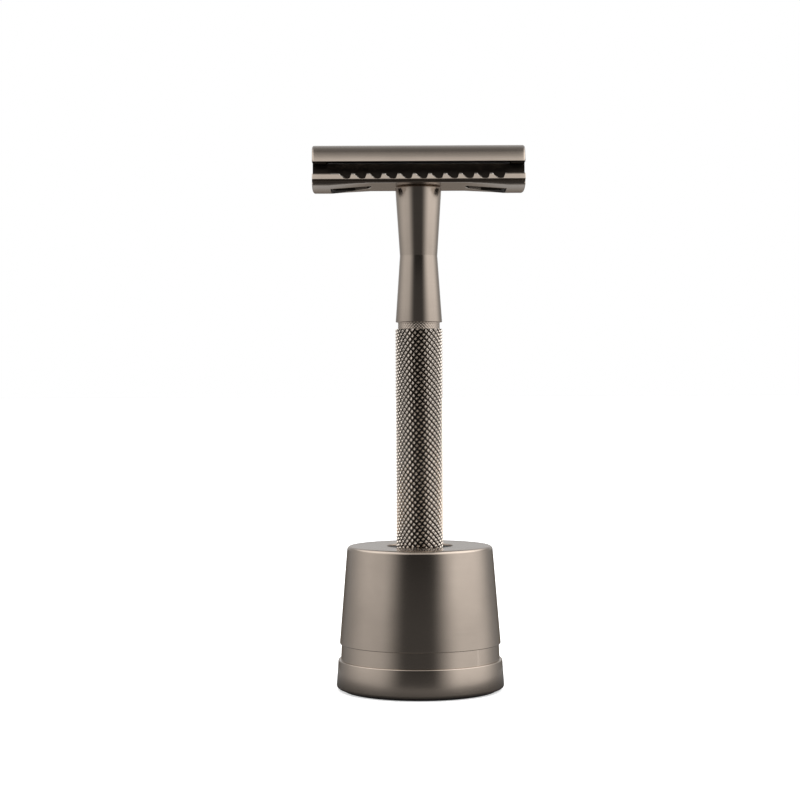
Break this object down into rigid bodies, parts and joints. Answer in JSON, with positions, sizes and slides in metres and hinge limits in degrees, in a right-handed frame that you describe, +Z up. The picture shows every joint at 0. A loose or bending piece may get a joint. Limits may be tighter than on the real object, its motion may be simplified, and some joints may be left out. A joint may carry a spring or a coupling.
{
  "type": "safety razor",
  "caption": "Double-edge safety razor with a knurled handle, a scalloped three-piece head and a clamped blade, standing in a round weighted stand.",
  "frame": {"origin": "centre of the stand's foot, on the surface that it stands on", "axes": "+Z up along the handle, +X along the head and the blade's edges, -Y the front"},
  "size_m": [0.0442, 0.035, 0.1132],
  "materials": {
    "gunmetal": "satin anodised gunmetal, fine turned grain",
    "gunmetal_head": "satin gunmetal plating over a cast and milled head",
    "gunmetal_knurl": "gunmetal anodised diamond knurl",
    "blade_steel": "bright rolled stainless strip with ground edges",
    "steel": "turned stainless steel",
    "ballast_steel": "dull blackened steel",
    "bush_brass": "machined brass",
    "black_plastic": "moulded matte black",
    "black_rubber": "matte black rubber",
    "felt": "pressed black felt"
  },
  "bodies": {
    "stand": {"stand_body": "gunmetal", "stand_base": "gunmetal", "socket_liner": "black_plastic", "socket_pad": "felt", "ballast_weight": "ballast_steel", "bottom_plate": "steel", "base_screws": "steel", "foot_pad": "black_rubber"},
    "handle": {"grip_sleeve": "gunmetal_knurl", "core_rod": "steel", "end_cap": "gunmetal", "end_seal": "black_rubber", "collar_ring": "gunmetal_knurl", "neck": "gunmetal", "threaded_bush": "bush_brass"},
    "guard": {"guard_plate": "gunmetal_head"},
    "blade": {"razor_blade": "blade_steel"},
    "cap": {"top_cap": "gunmetal_head", "cap_stud": "steel", "alignment_pins": "steel"}
  },
  "joints": [
    {"name": "razor_lift", "type": "slide", "parent": "stand", "child": "handle", "axis": [0, 0, 1], "range_m": [0, 0.03]},
    {"name": "head_unscrew", "type": "hinge", "parent": "handle", "child": "guard", "pos_m": [0, 0, 0.10495], "axis": [0, 0, 1], "range_deg": [0, 2880]},
    {"name": "cap_rise", "type": "slide", "parent": "guard", "child": "cap", "axis": [0, 0, 1], "range_m": [0, 0.0065]},
    {"name": "blade_rise", "type": "slide", "parent": "guard", "child": "blade", "axis": [0, 0, 1], "range_m": [0, 0.0033]}
  ],
  "couplings": [
    {"joint": "cap_rise", "follows": "head_unscrew", "m_per_rad": 0.00012732},
    {"joint": "blade_rise", "follows": "head_unscrew", "m_per_rad": 0.000063662}
  ]
}
